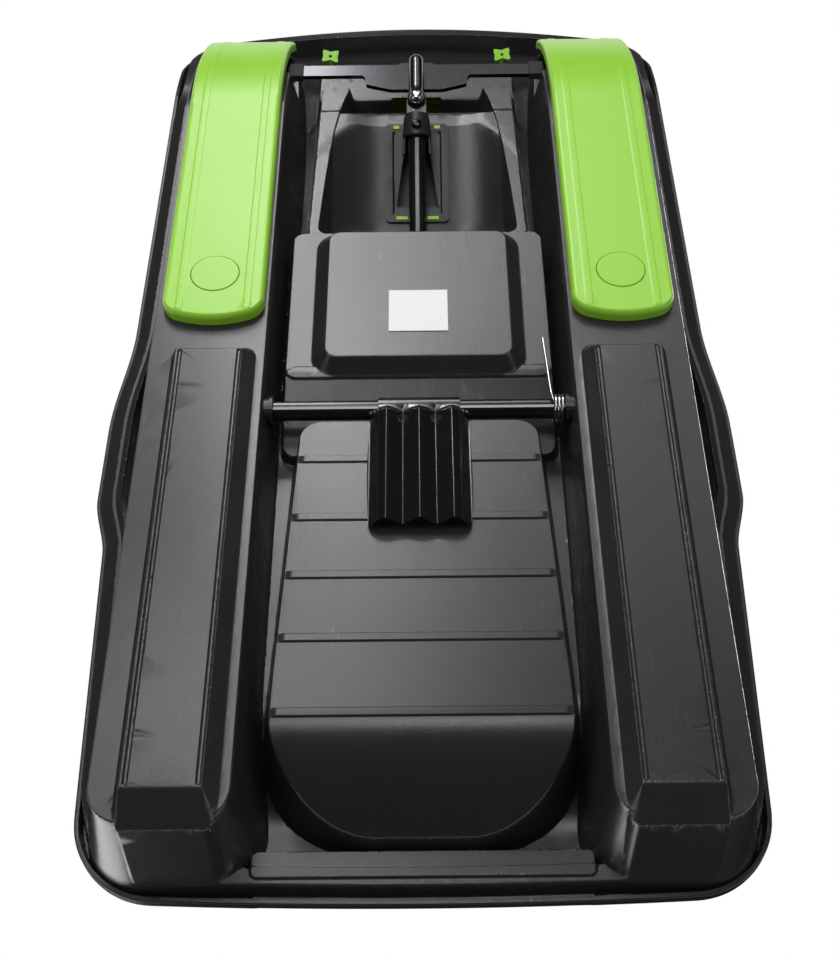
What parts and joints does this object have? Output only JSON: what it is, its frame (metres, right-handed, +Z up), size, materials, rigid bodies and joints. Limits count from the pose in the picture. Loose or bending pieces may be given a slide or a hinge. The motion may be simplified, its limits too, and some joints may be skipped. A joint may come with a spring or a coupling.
{
  "type": "steerable sled",
  "caption": "One-seat plastic bob sled with two swinging skis in front, a steering wheel, fixed rear runners and a hand-worked claw brake.",
  "frame": {"origin": "centre of the bounding box at the height of the snow, under the skis and runners", "axes": "+Y points to the rear along the sled, +Z up, +X to the side, so the skis' tips point to -Y"},
  "size_m": [0.632, 1.1959, 0.3397],
  "materials": {
    "charcoal": "satin moulded polyethylene",
    "green": "semi-gloss moulded plastic",
    "dark": "satin moulded plastic",
    "black_plastic": "semi-gloss moulded plastic",
    "black_paint": "gloss black paint",
    "steel": "bright zinc plating",
    "satin": "satin plated strip",
    "rubber": "matt soft grip",
    "label": "blank white sticker"
  },
  "bodies": {
    "sled": {"hull": "charcoal", "front_hood": "green", "console_frame": "dark", "label": "label", "column_saddle": "dark", "saddle_bolt": "steel", "column_bush": "dark", "brake_bush_left": "dark", "brake_bush_right": "dark", "brake_spring": "steel"},
    "steering": {"steering_column": "black_paint", "crank": "black_paint", "crank_bolt": "steel", "crank_pin": "steel", "steering_wheel": "black_plastic", "wheel_grip_left": "rubber", "wheel_grip_right": "rubber", "wheel_cap": "green"},
    "bar": {"tie_bar": "satin"},
    "left_ski": {"ski_left": "green", "ski_cap_left": "green", "pivot_bolt_left": "steel", "pivot_washer_left": "steel", "pivot_nut_left": "steel", "link_pin_left": "steel"},
    "right_ski": {"ski_right": "green", "ski_cap_right": "green", "pivot_bolt_right": "steel", "pivot_washer_right": "steel", "pivot_nut_right": "steel", "link_pin_right": "steel"},
    "brake": {"brake_shaft": "black_paint", "brake_claw": "black_paint", "brake_lever_left": "black_paint", "brake_lever_right": "black_paint", "lever_grip_left": "rubber", "lever_grip_right": "rubber"}
  },
  "joints": [
    {"name": "steering_turn", "type": "hinge", "parent": "sled", "child": "steering", "pos_m": [0, -0.3, 0.036], "axis": [0, 0.848, 0.5299], "range_deg": [-25, 25]},
    {"name": "bar_slide", "type": "slide", "parent": "sled", "child": "bar", "axis": [1, 0, 0], "range_m": [-0.029, 0.029]},
    {"name": "ski_left_turn", "type": "hinge", "parent": "sled", "child": "left_ski", "pos_m": [-0.2025, -0.005, 0], "axis": [0, 0, 1], "range_deg": [-4.2, 4.2]},
    {"name": "ski_right_turn", "type": "hinge", "parent": "sled", "child": "right_ski", "pos_m": [0.2025, -0.005, 0], "axis": [0, 0, 1], "range_deg": [-4.2, 4.2]},
    {"name": "brake_pull", "type": "hinge", "parent": "sled", "child": "brake", "pos_m": [0, 0.147, 0.034], "axis": [1, 0, 0], "range_deg": [-60, 0], "stiffness_Nm_per_rad": 1.2, "springref_deg": 14.32}
  ],
  "couplings": [
    {"joint": "bar_slide", "follows": "steering_turn", "m_per_rad": 0.0645},
    {"joint": "ski_left_turn", "follows": "steering_turn", "ratio": 0.1664},
    {"joint": "ski_right_turn", "follows": "steering_turn", "ratio": 0.1664}
  ]
}
